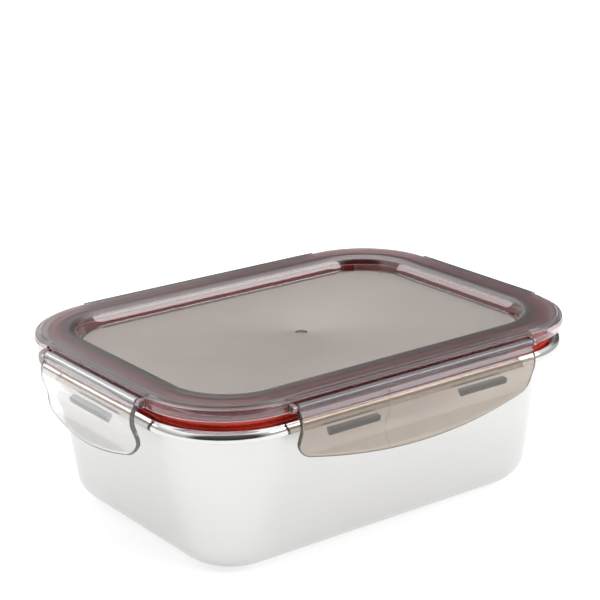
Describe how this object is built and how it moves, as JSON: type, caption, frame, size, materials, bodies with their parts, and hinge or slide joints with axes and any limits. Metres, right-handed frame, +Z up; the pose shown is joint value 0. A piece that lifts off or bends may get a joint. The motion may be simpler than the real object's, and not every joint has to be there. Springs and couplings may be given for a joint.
{
  "type": "lunch box",
  "caption": "Rectangular steel lunch box with tapered walls and rounded corners, a tinted see-through lid, a red silicone seal and clear clip latches hinged along its sides.",
  "frame": {"origin": "middle of the container's base, on the surface it stands on", "axes": "+X along the long side, +Y towards the back long side, +Z up"},
  "size_m": [0.2104, 0.1588, 0.0748],
  "materials": {
    "steel": "satin",
    "smoked_plastic": "tinted, see-through",
    "silicone": "satin",
    "clear_plastic": "clear, glossy",
    "pin_steel": "polished"
  },
  "bodies": {
    "container": {"container": "steel"},
    "lid": {"lid": "smoked_plastic", "gasket": "silicone", "hinge_pin_front": "pin_steel", "hinge_pin_right": "pin_steel", "hinge_pin_back": "pin_steel", "hinge_pin_left": "pin_steel"},
    "front_latch": {"latch_front": "clear_plastic"},
    "right_latch": {"latch_right": "clear_plastic"},
    "back_latch": {"latch_back": "clear_plastic"},
    "left_latch": {"latch_left": "clear_plastic"}
  },
  "joints": [
    {"name": "lid_lift", "type": "slide", "parent": "container", "child": "lid", "axis": [0, 0, 1], "range_m": [0, 0.08]},
    {"name": "front_latch_hinge", "type": "hinge", "parent": "lid", "child": "front_latch", "pos_m": [0, -0.07505, 0.0709], "axis": [-1, 0, 0], "range_deg": [0, 120]},
    {"name": "right_latch_hinge", "type": "hinge", "parent": "lid", "child": "right_latch", "pos_m": [0.1008, 0, 0.0709], "axis": [0, -1, 0], "range_deg": [0, 120]},
    {"name": "back_latch_hinge", "type": "hinge", "parent": "lid", "child": "back_latch", "pos_m": [0, 0.07505, 0.0709], "axis": [1, 0, 0], "range_deg": [0, 120]},
    {"name": "left_latch_hinge", "type": "hinge", "parent": "lid", "child": "left_latch", "pos_m": [-0.1008, 0, 0.0709], "axis": [0, 1, 0], "range_deg": [0, 120]}
  ]
}
